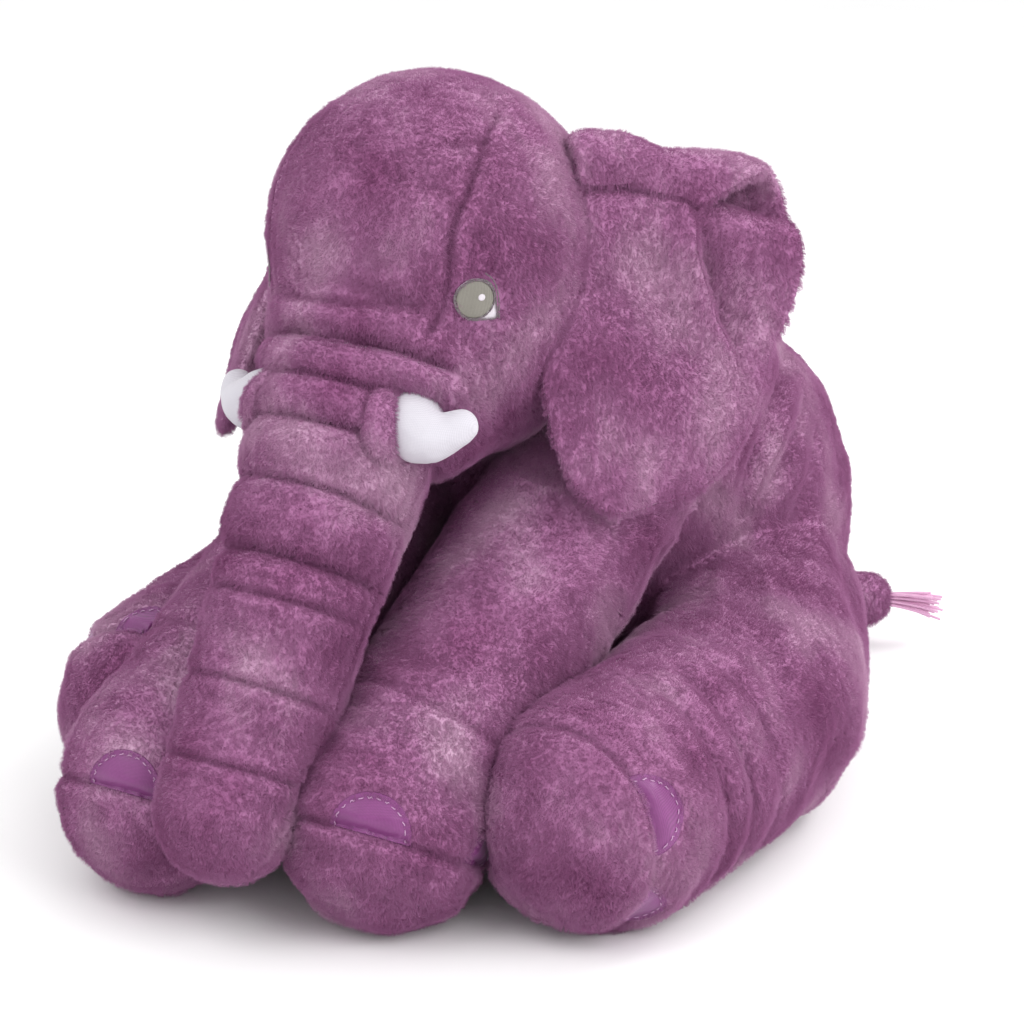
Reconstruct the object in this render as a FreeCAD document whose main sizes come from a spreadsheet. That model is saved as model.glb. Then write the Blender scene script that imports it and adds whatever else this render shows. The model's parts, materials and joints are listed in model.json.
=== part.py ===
import FreeCAD, Part
import math
import os
import Sketcher
from FreeCAD import Placement, Rotation, Vector

# A large seated plush elephant: fabric covers over separate stuffings, hinged where it flexes.
# Millimetres, +Z up.  It faces -Y, so its own left side is +X.  The origin is on the floor,
# under the middle of the object's bounding box.

doc = FreeCAD.newDocument("PlushElephant")
sheet = doc.addObject("Spreadsheet::Sheet", "Sizes")

SIZES = {
    # cover cloth, and the air left between neighbouring soft bodies
    "cloth": 3.0,
    "gap_rest": 1.0,
    "gap_swing": 2.5,
    "nesting": 0.4,
    "big": 900.0,
    # torso: a leaning egg with a ball for a neck
    "shoulder_radius": 142.0,
    "shoulder_y": 55.0,
    "shoulder_z": 252.0,
    "rump_radius": 164.0,
    "rump_y": 149.0,
    "rump_z": 159.0,
    "neck_radius": 84.0,
    "neck_y": -55.0,
    "neck_z": 330.0,
    "belly_half_width": 70.0,
    "belly_back": 69.0,
    "belly_top": 235.0,
    # head: a skull, a little narrower at the crown, and a muzzle
    "crown_radius": 110.0,
    "crown_y": -117.0,
    "crown_z": 416.0,
    "jaw_radius": 112.0,
    "jaw_y": -113.0,
    "jaw_z": 378.0,
    "muzzle_radius": 87.0,
    "muzzle_y": -161.0,
    "muzzle_z": 348.0,
    "nod_limit": 12.0,
    "gusset_half_width": 52.0,
    "chin_top": 300.0,
    # trunk
    "trunk_root_radius": 60.0,
    "trunk_tip_radius": 45.0,
    "trunk_root_y": -201.0,
    "trunk_root_z": 335.0,
    "trunk_tip_y": -355.0,
    "trunk_tip_z": 88.0,
    "trunk_under_inset": 12.0,
    "trunk_limit": 40.0,
    # tusks
    "tusk_root_radius": 23.0,
    "tusk_tip_radius": 12.0,
    "tusk_root_x": 66.0,
    "tusk_root_y": -218.0,
    "tusk_root_z": 321.0,
    "tusk_tip_x": 91.0,
    "tusk_tip_y": -219.0,
    "tusk_tip_z": 326.0,
    "collar_tube": 5.0,
    # eyes
    "eye_white_radius": 19.0,
    "eye_iris_radius": 14.0,
    "eye_x": 87.0,
    "eye_y": -189.0,
    "eye_z": 399.0,
    "embroidery": 1.2,
    # ears
    "ear_top_radius": 90.0,
    "ear_lobe_radius": 94.0,
    "ear_length": 62.0,
    "ear_thickness": 26.0,
    "ear_edge": 10.0,
    "ear_top_x": 101.0,
    "ear_top_y": -71.0,
    "ear_top_z": 478.0,
    "ear_drop": 118.0,
    "ear_reach_back": 42.0,
    # forelegs
    "foreleg_root_radius": 62.0,
    "foreleg_foot_radius": 70.0,
    "foreleg_root_x": 80.0,
    "foreleg_root_y": -33.0,
    "foreleg_root_z": 245.0,
    # hind legs
    "hip_radius": 93.0,
    "knee_radius": 82.0,
    "hind_foot_radius": 77.0,
    "hip_x": 108.0,
    "hip_y": 117.0,
    "hip_z": 96.0,
    "knee_x": 187.0,
    "knee_y": -9.0,
    "splay_limit": 20.0,
    # feet
    "fore_sole_dip": 60.0,
    "fore_sole_offset": 15.0,
    "hind_sole_dip": 0.0,
    "hind_sole_offset": 35.0,
    "nail_radius": 27.0,
    "nail_patch": 1.5,
    "fore_nail_spacing": 82.0,
    "hind_nail_spacing": 66.0,
    # tail
    "tail_root_radius": 16.0,
    "tail_tip_radius": 20.0,
    "tail_root_x": 38.0,
    "tail_root_y": 276.0,
    "tail_root_z": 66.0,
    "tail_tip_x": 98.0,
    "tail_tip_y": 357.0,
    "tail_tip_z": 36.0,
    "tail_limit": 40.0,
    "tuft_length": 46.0,
    "tuft_radius": 8.0,
}

# Where each foot rests, and how far its toenails are rolled round the foot.
FORE_FEET = {"left": (70.0, -277.0), "right": (-88.0, -309.0)}
HIND_FEET = {"left": (183.0, -206.0), "right": (-161.0, -213.0)}
FORE_NAIL_ROLL = {"left": -25.0, "right": -14.0}
HIND_NAIL_ROLL = {"left": -136.0, "right": -6.0}
# How many degrees each ear hangs out from the side of the head.
EAR_LEAN = {"left": 0.0, "right": 4.0}
SIDES = {"left": 1, "right": -1}
UP = Vector(0, 0, 1)
ACROSS = Vector(1, 0, 0)


def add_size(row, alias, value):
    sheet.set(f"A{row}", alias)
    sheet.set(f"B{row}", str(value))
    sheet.setAlias(f"B{row}", alias)


for number, (word, amount) in enumerate(SIZES.items(), start=1):
    add_size(number, word, amount)
for place, (tag, feet) in enumerate((("fore", FORE_FEET), ("hind", HIND_FEET))):
    for turn, side_name in enumerate(feet):
        start = len(SIZES) + 1 + 4 * place + 2 * turn
        add_size(start, f"{tag}_foot_x_{side_name}", feet[side_name][0])
        add_size(start + 1, f"{tag}_foot_y_{side_name}", feet[side_name][1])
doc.recompute()


def size(alias):
    return float(sheet.get(alias))


def point(stem, side=1):
    return Vector(side * size(stem + "_x"), size(stem + "_y"), size(stem + "_z"))


def middle_point(stem):
    return Vector(0, size(stem + "_y"), size(stem + "_z"))


def bind(item, formulas):
    for name, formula in formulas.items():
        item.setExpression(name, formula)
    return item


def along(start, end, top=UP):
    """Placement at start whose Z runs to end, with X turned as far as it can towards top."""
    reach = end - start
    return Placement(start, Rotation(top, Vector(), reach, "ZXY"))


# ---------------------------------------------------------------- shapes and booleans


def ball(name, radius, centre):
    item = doc.addObject("Part::Sphere", name)
    bind(item, {"Radius": radius})
    item.Placement = Placement(centre, Rotation())
    return item


def block(name, place, length="Sizes.big", width="Sizes.big", height="Sizes.big"):
    item = doc.addObject("Part::Box", name)
    bind(item, {"Length": length, "Width": width, "Height": height})
    item.Placement = place
    return item


def rod(name, radius, height, place):
    item = doc.addObject("Part::Cylinder", name)
    bind(item, {"Radius": radius, "Height": height})
    item.Placement = place
    return item


def cut(name, base, tool):
    item = doc.addObject("Part::Cut", name)
    item.Base = base
    item.Tool = tool
    return item


def common(name, base, tool):
    item = doc.addObject("Part::Common", name)
    item.Base = base
    item.Tool = tool
    return item


def joined(name, items):
    if len(items) == 1:
        return items[0]
    item = doc.addObject("Part::MultiFuse", name)
    item.Shapes = items
    return item


def turned(item, pivot, axis, angle):
    turn = Rotation(axis, angle)
    item.Placement = Placement(pivot - turn.multVec(pivot), turn).multiply(item.Placement)
    return item


def sweep(name, make, pivot, axis, limit, room):
    """Three poses of a moving piece, each a hair slimmer than the last so no two faces coincide."""
    poses = []
    for step in range(3):
        grow = f"{room} - {step} * Sizes.nesting"
        poses.append(turned(make(f"{name}_{step}", grow), pivot, axis, limit * step / 2))
    return poses


def capsule(name, start, end, start_radius, end_radius, grow="0"):
    """A tapered capsule: two spheres and the cone that touches both, revolved about its axis."""
    reach = (end - start).Length
    body = doc.addObject("PartDesign::Body", name)
    plane = [f for f in body.Origin.OriginFeatures if f.Role == "XZ_Plane"][0]
    sketch = body.newObject("Sketcher::SketchObject", name + "_profile")
    sketch.AttachmentSupport = [(plane, "")]
    sketch.MapMode = "FlatFace"
    near, far = size(start_radius) + 1, size(end_radius) + 1
    slope = math.asin((near - far) / reach)
    out = Vector(math.cos(slope), math.sin(slope), 0)
    root, tip = Vector(0, 0, 0), Vector(0, reach, 0)
    facing = Vector(0, 0, 1)
    sketch.addGeometry(Part.ArcOfCircle(Part.Circle(root, facing, near), -math.pi / 2, slope))
    sketch.addGeometry(Part.LineSegment(root + out * near, tip + out * far))
    sketch.addGeometry(Part.ArcOfCircle(Part.Circle(tip, facing, far), slope, math.pi / 2))
    sketch.addGeometry(Part.LineSegment(tip + Vector(0, far, 0), root - Vector(0, near, 0)))
    for first, first_end, second, second_end in ((0, 2, 1, 1), (1, 2, 2, 1)):
        sketch.addConstraint(Sketcher.Constraint("Tangent", first, first_end, second, second_end))
    for first, first_end, second, second_end in ((2, 2, 3, 1), (3, 2, 0, 1)):
        sketch.addConstraint(Sketcher.Constraint("Coincident", first, first_end, second, second_end))
    sketch.addConstraint(Sketcher.Constraint("Coincident", 0, 3, -1, 1))
    sketch.addConstraint(Sketcher.Constraint("PointOnObject", 2, 3, -2))
    sketch.addConstraint(Sketcher.Constraint("PointOnObject", 3, 1, -2))
    sketch.addConstraint(Sketcher.Constraint("PointOnObject", 3, 2, -2))
    sketch.addConstraint(Sketcher.Constraint("DistanceY", 0, 3, 2, 3, reach))
    for geometry, label, radius in ((0, "start_radius", near), (2, "end_radius", far)):
        index = sketch.addConstraint(Sketcher.Constraint("Radius", geometry, radius))
        sketch.renameConstraint(index, label)
    bind(sketch, {"Constraints.start_radius": f"Sizes.{start_radius} + {grow}",
                  "Constraints.end_radius": f"Sizes.{end_radius} + {grow}"})
    turned = body.newObject("PartDesign::Revolution", name + "_revolved")
    turned.Profile = sketch
    turned.ReferenceAxis = (sketch, ["V_Axis"])
    turned.Angle = 360
    sketch.Visibility = False
    body.Placement = along(start, end)
    return body


kept = []


def keep(item, node):
    """Marks a finished sub-part; its Label names its file."""
    item.Label = node
    kept.append(item)
    return item


GROWN = {"hull": "0", "core": "-Sizes.cloth"}
ROOM = {"hull": "Sizes.gap_rest", "core": "(Sizes.gap_rest + Sizes.cloth)"}
SWING_ROOM = {"hull": "Sizes.gap_swing", "core": "(Sizes.gap_swing + Sizes.cloth)"}
LAYERS = ("hull", "core")

# ---------------------------------------------------------------- landmarks

neck = middle_point("neck")
trunk_root = middle_point("trunk_root")
trunk_tip = middle_point("trunk_tip")
fore_foot = {}
hind_foot = {}
for side_name in SIDES:
    fore_foot[side_name] = Vector(size("fore_foot_x_" + side_name), size("fore_foot_y_" + side_name),
                                  size("foreleg_foot_radius"))
    hind_foot[side_name] = Vector(size("hind_foot_x_" + side_name), size("hind_foot_y_" + side_name),
                                  size("hind_foot_radius"))


def hip(side):
    return point("hip", side)


def knee(side):
    return Vector(side * size("knee_x"), size("knee_y"), size("knee_radius"))


def skull_mass(name, grow):
    return capsule(name, middle_point("jaw"), middle_point("crown"), "jaw_radius", "crown_radius", grow)


def head_mass(name, grow):
    snout = ball(name + "_muzzle", f"Sizes.muzzle_radius + {grow}", middle_point("muzzle"))
    return joined(name, [skull_mass(name + "_skull", grow), snout])


def foreleg_mass(name, side_name, grow):
    root = point("foreleg_root", SIDES[side_name])
    return capsule(name, root, fore_foot[side_name], "foreleg_root_radius", "foreleg_foot_radius", grow)


def thigh_mass(name, side_name, grow):
    side = SIDES[side_name]
    return capsule(name, hip(side), knee(side), "hip_radius", "knee_radius", grow)


def shank_mass(name, side_name, grow):
    start = knee(SIDES[side_name])
    return capsule(name, start, hind_foot[side_name], "knee_radius", "hind_foot_radius", grow)


# ---------------------------------------------------------------- room kept free for neighbours

forelegs_room = {}
for layer in LAYERS:
    legs = [foreleg_mass(f"foreleg_{side_name}_{layer}_room", side_name, ROOM[layer])
            for side_name in SIDES]
    forelegs_room[layer] = joined(f"forelegs_{layer}_room", legs)



def thigh_sweep(side_name, layer):
    side = SIDES[side_name]

    def make(name, grow):
        return thigh_mass(name, side_name, grow)

    return sweep(f"thigh_{side_name}_{layer}_room", make, hip(side), UP, side * size("splay_limit"),
                 SWING_ROOM[layer])


def tail_mass(name, grow):
    return capsule(name, point("tail_root"), point("tail_tip"), "tail_root_radius", "tail_tip_radius", grow)


# ---------------------------------------------------------------- torso


def torso_layer(layer):
    egg = capsule(f"torso_egg_{layer}", middle_point("rump"), middle_point("shoulder"),
                  "rump_radius", "shoulder_radius", GROWN[layer])
    floor_height = 0.0 if layer == "hull" else size("cloth")
    half = size("big") / 2
    above = block(f"torso_{layer}_above_floor", Placement(Vector(-half, -half, floor_height), Rotation()))
    seated = common(f"torso_{layer}_seated", egg, above)
    ball_shape = ball(f"neck_{layer}", f"Sizes.neck_radius + {GROWN[layer]}", neck)
    heads = sweep(f"head_{layer}_room", head_mass, neck, ACROSS, -size("nod_limit"), SWING_ROOM[layer])
    legs = [forelegs_room[layer]] + thigh_sweep("left", layer) + thigh_sweep("right", layer)
    tails = sweep(f"tail_{layer}_room", tail_mass, point("tail_root"), UP, size("tail_limit"), ROOM[layer])
    shoulders = cut(f"torso_{layer}_shoulders", seated, joined(f"head_{layer}_sweep", heads))
    necked = joined(f"torso_{layer}_necked", [shoulders, ball_shape])
    return cut(f"torso_{layer}", necked, joined(f"legs_{layer}_sweep", legs + tails))


torso = {layer: torso_layer(layer) for layer in LAYERS}
torso_cover = cut("torso_cover", torso["hull"], torso["core"])
belly_half = size("belly_half_width")
belly_block = block("belly_block", Placement(Vector(-belly_half, -size("big") + size("belly_back"), 0), Rotation()),
                    length="2 * Sizes.belly_half_width", height="Sizes.belly_top")
left_block = block("left_half", Placement(Vector(0, -size("big") / 2, 0), Rotation()))
flanks = cut("torso_flanks", torso_cover, belly_block)
keep(common("torso_belly", torso_cover, belly_block), "torso_belly_panel")
keep(common("torso_left", flanks, left_block), "torso_back_left")
keep(cut("torso_right", flanks, left_block), "torso_back_right")
keep(torso["core"], "torso_stuffing")

# ---------------------------------------------------------------- head


def trunk_mass(name, grow):
    return capsule(name, trunk_root, trunk_tip, "trunk_root_radius", "trunk_tip_radius", grow)


def head_layer(layer):
    mass = head_mass(f"head_{layer}", GROWN[layer])
    room = [ball(f"neck_{layer}_room", f"Sizes.neck_radius + {ROOM[layer]}", neck)]
    room += sweep(f"trunk_{layer}_room", trunk_mass, trunk_root, ACROSS, -size("trunk_limit"), ROOM[layer])
    return cut(f"head_{layer}_socketed", mass, joined(f"head_{layer}_sockets", room))


head = {layer: head_layer(layer) for layer in LAYERS}
head_cover = cut("head_cover", head["hull"], head["core"])
big_half = size("big") / 2
chin_block = block("chin_block", Placement(Vector(-big_half, -big_half, size("chin_top") - size("big")), Rotation()))
gusset_block = block("gusset_block", Placement(Vector(-size("gusset_half_width"), -big_half, 0), Rotation()),
                     length="2 * Sizes.gusset_half_width")
upper_cover = cut("head_upper_cover", head_cover, chin_block)
cheeks = cut("cheeks", upper_cover, gusset_block)
keep(common("chin", head_cover, chin_block), "head_chin_panel")
keep(common("gusset", upper_cover, gusset_block), "head_forehead_gusset")
keep(common("cheek_left", cheeks, left_block), "head_cheek_left")
keep(cut("cheek_right", cheeks, left_block), "head_cheek_right")
keep(head["core"], "head_stuffing")


def embroidered(name, radius, low, high, side, node):
    """A disc of stitching lying on the skull."""
    centre = point("eye", side)
    skin = cut(name + "_skin", skull_mass(name + "_outer", high), skull_mass(name + "_inner", low))
    outward = centre - middle_point("crown")
    drill = rod(name + "_disc", radius, "40", along(centre - outward * 0.15, centre + outward))
    keep(common(name, skin, drill), node)


for side_name, side in SIDES.items():
    embroidered(f"eye_white_{side}", "Sizes.eye_white_radius", "0", "Sizes.embroidery", side,
                f"eye_{side_name}_white")
    embroidered(f"eye_iris_{side}", "Sizes.eye_iris_radius", "Sizes.embroidery",
                "2 * Sizes.embroidery", side, f"eye_{side_name}_iris")

# ---------------------------------------------------------------- tusks


def tusk(side_name, side):
    """A tusk and its plush collar, cut back to the face and to the room the trunk swings in."""
    name = f"tusk_{side_name}"
    root = point("tusk_root", side)
    tip = point("tusk_tip", side)
    taken = sweep(name + "_trunk", trunk_mass, trunk_root, ACROSS, -size("trunk_limit"), SWING_ROOM["hull"])
    taken = joined(name + "_taken", [head_mass(name + "_face", "0")] + taken)
    collar = doc.addObject("Part::Torus", name + "_ring")
    bind(collar, {"Radius1": "Sizes.tusk_root_radius + Sizes.collar_tube * 0.6",
                  "Radius2": "Sizes.collar_tube"})
    collar.Placement = along(root + (tip - root) * 0.14, tip)
    free = {}
    for layer, grow in (("hull", "0"), ("core", "-Sizes.cloth * 0.6")):
        whole = capsule(f"{name}_{layer}", root, tip, "tusk_root_radius", "tusk_tip_radius", grow)
        free[layer] = cut(f"{name}_{layer}_free", whole, taken)
    ring = cut(name + "_ring_free", collar, joined(name + "_inside", [taken, free["hull"]]))
    keep(ring, name + "_collar")
    keep(cut(name + "_skin", free["hull"], free["core"]), name + "_cover")
    keep(free["core"], name + "_stuffing")


for side_name, side in SIDES.items():
    tusk(side_name, side)

# ---------------------------------------------------------------- trunk


def trunk_layer(layer):
    return cut(f"trunk_{layer}_dented", trunk_mass(f"trunk_{layer}", GROWN[layer]), forelegs_room[layer])


trunk = {layer: trunk_layer(layer) for layer in LAYERS}
trunk_cover = cut("trunk_cover", trunk["hull"], trunk["core"])
trunk_place = along(trunk_root, trunk_tip)
behind = trunk_place.multiply(Placement(Vector(-size("big") - size("trunk_under_inset"), -big_half, -big_half),
                                        Rotation()))
under_block = block("trunk_under_block", behind)
keep(cut("trunk_front", trunk_cover, under_block), "trunk_front_cover")
keep(common("trunk_under", trunk_cover, under_block), "trunk_under_panel")
keep(trunk["core"], "trunk_stuffing")

# ---------------------------------------------------------------- legs


def sole_place(foot, kind):
    """Placement in the middle of the seam round a sole, with Z out through the sole."""
    dip = math.radians(size(f"{kind}_sole_dip"))
    facing = Vector(0, -math.cos(dip), -math.sin(dip))
    return along(foot + facing * size(f"{kind}_sole_offset"), foot + facing * size("big"))


def toenails(name, kind, place, mass, roll, sole):
    """Three half discs of satin let into the sleeve, with their straight edges on the sole seam."""
    under = mass(name + "_under", "-Sizes.nail_patch")
    skin = cut(name + "_skin", cut(name + "_layer", mass(name + "_upper", "0"), under), sole)
    discs = []
    for count in (-1, 0, 1):
        turn = Placement(Vector(), Rotation(UP, roll + count * size(f"{kind}_nail_spacing")))
        outward = turn.multiply(Placement(Vector(), Rotation(Vector(0, 1, 0), 90)))
        discs.append(rod(f"{name}_disc_{count + 2}", "Sizes.nail_radius", "150", place.multiply(outward)))
    return common(name, skin, joined(name + "_discs", discs))


def leg(node, kind, foot, hull, core, mass, roll):
    place = sole_place(foot, kind)
    sole = block(node + "_sole_block", place.multiply(Placement(Vector(-big_half, -big_half, 0), Rotation())))
    cover = cut(node + "_cover", hull, core)
    nails = toenails(node + "_nails", kind, place, mass, roll, sole)
    keep(cut(node + "_tube", cut(node + "_open_tube", cover, sole), nails), f"{node}_sleeve")
    keep(common(node + "_pad", cover, sole), f"{node}_sole")
    keep(common(node + "_set_nails", nails, cover), f"{node}_toenails")
    keep(core, f"{node}_stuffing")


for side_name in SIDES:
    node = f"foreleg_{side_name}"

    def fore_mass(name, grow):
        return foreleg_mass(name, side_name, grow)

    leg(node, "fore", fore_foot[side_name], fore_mass(node + "_hull", GROWN["hull"]),
        fore_mass(node + "_core", GROWN["core"]), fore_mass, FORE_NAIL_ROLL[side_name])

for side_name in SIDES:
    node = f"hindleg_{side_name}"

    def hind_layer(layer):
        mass = [thigh_mass(f"{node}_thigh_{layer}", side_name, GROWN[layer]),
                shank_mass(f"{node}_shank_{layer}", side_name, GROWN[layer])]
        return cut(f"{node}_{layer}", joined(f"{node}_{layer}_whole", mass), forelegs_room[layer])

    def shank_only(name, grow):
        return shank_mass(name, side_name, grow)

    leg(node, "hind", hind_foot[side_name], hind_layer("hull"), hind_layer("core"), shank_only,
        HIND_NAIL_ROLL[side_name])

# ---------------------------------------------------------------- ears


def oval_pad(name, grow):
    """A rounded pad: two circles and their common tangents, thickened both ways and filleted."""
    body = doc.addObject("PartDesign::Body", name)
    plane = [f for f in body.Origin.OriginFeatures if f.Role == "XY_Plane"][0]
    sketch = body.newObject("Sketcher::SketchObject", name + "_outline")
    sketch.AttachmentSupport = [(plane, "")]
    sketch.MapMode = "FlatFace"
    high, low, length = size("ear_top_radius"), size("ear_lobe_radius"), size("ear_length")
    slope = math.asin((low - high) / length)
    facing = Vector(0, 0, 1)
    upper, lower = Vector(0, length / 2, 0), Vector(0, -length / 2, 0)
    right = Vector(math.cos(slope), math.sin(slope), 0)
    left = Vector(-right.x, right.y, 0)
    sketch.addGeometry(Part.ArcOfCircle(Part.Circle(upper, facing, high), slope, math.pi - slope))
    sketch.addGeometry(Part.LineSegment(upper + left * high, lower + left * low))
    sketch.addGeometry(Part.ArcOfCircle(Part.Circle(lower, facing, low), math.pi - slope, slope + 2 * math.pi))
    sketch.addGeometry(Part.LineSegment(lower + right * low, upper + right * high))
    for first, second in ((0, 1), (1, 2), (2, 3), (3, 0)):
        sketch.addConstraint(Sketcher.Constraint("Tangent", first, 2, second, 1))
    sketch.addConstraint(Sketcher.Constraint("PointOnObject", 0, 3, -2))
    sketch.addConstraint(Sketcher.Constraint("PointOnObject", 2, 3, -2))
    sketch.addConstraint(Sketcher.Constraint("DistanceY", -1, 1, 0, 3, length / 2))
    sketch.addConstraint(Sketcher.Constraint("DistanceY", 2, 3, -1, 1, length / 2))
    for geometry, label, radius in ((0, "top", high), (2, "lobe", low)):
        index = sketch.addConstraint(Sketcher.Constraint("Radius", geometry, radius))
        sketch.renameConstraint(index, label + "_radius")
        sketch.setExpression(f"Constraints.{label}_radius", f"Sizes.ear_{label}_radius + {grow}")
    pad = body.newObject("PartDesign::Pad", name + "_pad")
    pad.Profile = sketch
    pad.Midplane = True
    pad.setExpression("Length", f"Sizes.ear_thickness + 2 * ({grow})")
    doc.recompute()
    rounded = body.newObject("PartDesign::Fillet", name + "_rounded")
    rounded.Base = (pad, [f"Face{n + 1}" for n, face in enumerate(pad.Shape.Faces)
                          if abs(face.normalAt(0, 0).z) > 0.99])
    rounded.setExpression("Radius", f"Sizes.ear_edge + {grow}")
    body.Tip = rounded
    sketch.Visibility = False
    return body


def ear(side_name, side):
    """A flat pad that leans out from the side of the head, clear of the cheek and shoulder."""
    outward = Vector(side * 0.804, -0.526, 0.278).normalize()
    back = Vector(side * 0.555, 0.833, -0.03).normalize()
    down = Vector(side * 0.22, -0.18, -0.96).normalize()
    lean = Rotation(back, -side * EAR_LEAN[side_name])
    outward, down = lean.multVec(outward), lean.multVec(down)
    centre = point("ear_top", side) + down * size("ear_drop") + back * size("ear_reach_back")
    lie = Placement(centre, Rotation(Vector(), down * -1, outward, "ZYX"))
    pads = {}
    for layer in LAYERS:
        pad = oval_pad(f"ear_{side_name}_{layer}", GROWN[layer])
        pad.Placement = lie
        face = head_mass(f"ear_{side_name}_{layer}_head", ROOM[layer])
        pads[layer] = cut(f"ear_{side_name}_{layer}_clear", pad, face)
    skin = cut(f"ear_{side_name}_skin", pads["hull"], pads["core"])
    front = block(f"ear_{side_name}_front_half",
                  lie.multiply(Placement(Vector(-big_half, -big_half, 0), Rotation())))
    keep(common(f"ear_{side_name}_front", skin, front), f"ear_{side_name}_front_panel")
    keep(cut(f"ear_{side_name}_back", skin, front), f"ear_{side_name}_back_panel")
    keep(pads["core"], f"ear_{side_name}_batting")


for side_name, side in SIDES.items():
    ear(side_name, side)

# ---------------------------------------------------------------- tail

tail_tip = point("tail_tip")
tail = {layer: tail_mass(f"tail_{layer}", GROWN[layer]) for layer in LAYERS}
keep(cut("tail_skin", tail["hull"], tail["core"]), "tail_cover")
keep(tail["core"], "tail_stuffing")
tuft = rod("tail_yarn", "Sizes.tuft_radius", "Sizes.tuft_length + Sizes.tail_tip_radius",
           along(tail_tip, tail_tip + Vector(0.84, 0.54, 0)))
keep(cut("tail_yarn_free", tuft, tail["hull"]), "tail_tuft")

# ---------------------------------------------------------------- checks and files

doc.recompute()
for item in doc.Objects:
    if "Invalid" in item.State or "Error" in item.State:
        raise RuntimeError(f"{item.Name} failed: {item.State}")
for item in kept:
    if item.Shape.isNull() or not item.Shape.isValid() or not item.Shape.Solids:
        raise RuntimeError(f"{item.Label} has no valid solid")

os.makedirs("parts", exist_ok=True)
for item in kept:
    item.Shape.exportStep(f"parts/{item.Label}.step")
    box = item.Shape.BoundBox
    print(f"{item.Label}: {len(item.Shape.Solids)} solids, {item.Shape.Volume / 1000:.0f} cm3, "
          f"x {box.XMin:.0f}..{box.XMax:.0f} y {box.YMin:.0f}..{box.YMax:.0f} "
          f"z {box.ZMin:.0f}..{box.ZMax:.0f}")
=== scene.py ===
"""The looks of the large seated plush elephant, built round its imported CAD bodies. Metres, +Z up."""

import json
import math

import bmesh
import bpy
import numpy as np
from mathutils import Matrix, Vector
from mathutils.bvhtree import BVHTree


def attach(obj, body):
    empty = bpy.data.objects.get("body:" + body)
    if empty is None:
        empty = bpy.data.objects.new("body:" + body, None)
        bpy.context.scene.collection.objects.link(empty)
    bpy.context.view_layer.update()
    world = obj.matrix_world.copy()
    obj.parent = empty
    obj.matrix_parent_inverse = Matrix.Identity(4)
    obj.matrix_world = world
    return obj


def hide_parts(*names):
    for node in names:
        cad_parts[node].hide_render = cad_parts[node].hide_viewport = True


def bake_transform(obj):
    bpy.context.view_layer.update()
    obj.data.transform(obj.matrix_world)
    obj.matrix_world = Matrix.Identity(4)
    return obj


MM = 0.001
CLOTH_FRAMES = 20
SIDES = {"left": 1, "right": -1}

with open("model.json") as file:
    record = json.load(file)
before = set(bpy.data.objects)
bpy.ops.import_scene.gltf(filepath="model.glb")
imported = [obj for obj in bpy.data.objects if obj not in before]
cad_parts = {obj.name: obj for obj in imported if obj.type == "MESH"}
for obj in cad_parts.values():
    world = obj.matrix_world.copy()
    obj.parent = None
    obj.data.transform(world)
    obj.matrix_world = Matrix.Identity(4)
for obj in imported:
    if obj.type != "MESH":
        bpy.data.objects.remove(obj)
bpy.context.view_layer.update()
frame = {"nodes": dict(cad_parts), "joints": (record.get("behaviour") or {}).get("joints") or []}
hinge = {joint["name"]: np.array(joint["pos_m"]) for joint in frame["joints"]}

# ---------------------------------------------------------------- camera, light and floor

CAMERA_AZIMUTH = math.radians(33)
CAMERA_ELEVATION = math.radians(18)
CAMERA_DISTANCE = 2.1
CAMERA_TARGET = Vector((0, -0.021, 0.196))


def add_camera():
    data = bpy.data.cameras.new("camera")
    data.lens = 103
    camera = bpy.data.objects.new("camera", data)
    bpy.context.scene.collection.objects.link(camera)
    back = Vector((math.sin(CAMERA_AZIMUTH) * math.cos(CAMERA_ELEVATION),
                   -math.cos(CAMERA_AZIMUTH) * math.cos(CAMERA_ELEVATION),
                   math.sin(CAMERA_ELEVATION)))
    camera.location = CAMERA_TARGET + back * CAMERA_DISTANCE
    camera.rotation_euler = (-back).to_track_quat("-Z", "Y").to_euler()
    bpy.context.scene.camera = camera


def add_light(name, place, energy, width):
    data = bpy.data.lights.new(name, "AREA")
    data.energy = energy
    data.size = width
    lamp = bpy.data.objects.new(name, data)
    lamp.location = place
    lamp.rotation_euler = (CAMERA_TARGET - Vector(place)).to_track_quat("-Z", "Y").to_euler()
    bpy.context.scene.collection.objects.link(lamp)


def add_world(strength):
    world = bpy.data.worlds.new("studio")
    world.use_nodes = True
    background = world.node_tree.nodes["Background"]
    background.inputs["Color"].default_value = (1, 1, 1, 1)
    background.inputs["Strength"].default_value = strength
    bpy.context.scene.world = world


# ---------------------------------------------------------------- numbers on points


def unit(vector):
    vector = np.asarray(vector, float)
    return vector / np.linalg.norm(vector)


def lattice(cells, seed):
    """A repeatable number from -1 to 1 for each whole-numbered cell."""
    mixed = cells[:, 0] * 73856093 ^ cells[:, 1] * 19349663 ^ cells[:, 2] * 83492791 ^ seed * 265443576
    mixed = (mixed ^ (mixed >> 13)) * 1274126177
    return ((mixed ^ (mixed >> 16)) & 0xFFFF) / 32767.5 - 1.0


def noise(points, cell, seed):
    """Smooth random values about one cell wide; cell may be three widths."""
    scaled = points / np.asarray(cell, float)
    base = np.floor(scaled).astype(np.int64)
    part = scaled - base
    eased = part * part * (3 - 2 * part)
    total = np.zeros(len(points))
    for corner in np.ndindex(2, 2, 2):
        weight = np.prod(np.where(corner, eased, 1 - eased), axis=1)
        total += weight * lattice(base + np.array(corner), seed)
    return total


def on_circle(turn):
    """Points of the unit circle in the plane, at the given turns."""
    return np.stack([np.cos(turn), np.sin(turn)], axis=1)


def bump(distance, width):
    return np.exp(-(distance / width) ** 2)


def ease(value, low, high):
    part = np.clip((value - low) / (high - low), 0, 1)
    return part * part * (3 - 2 * part)


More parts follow.
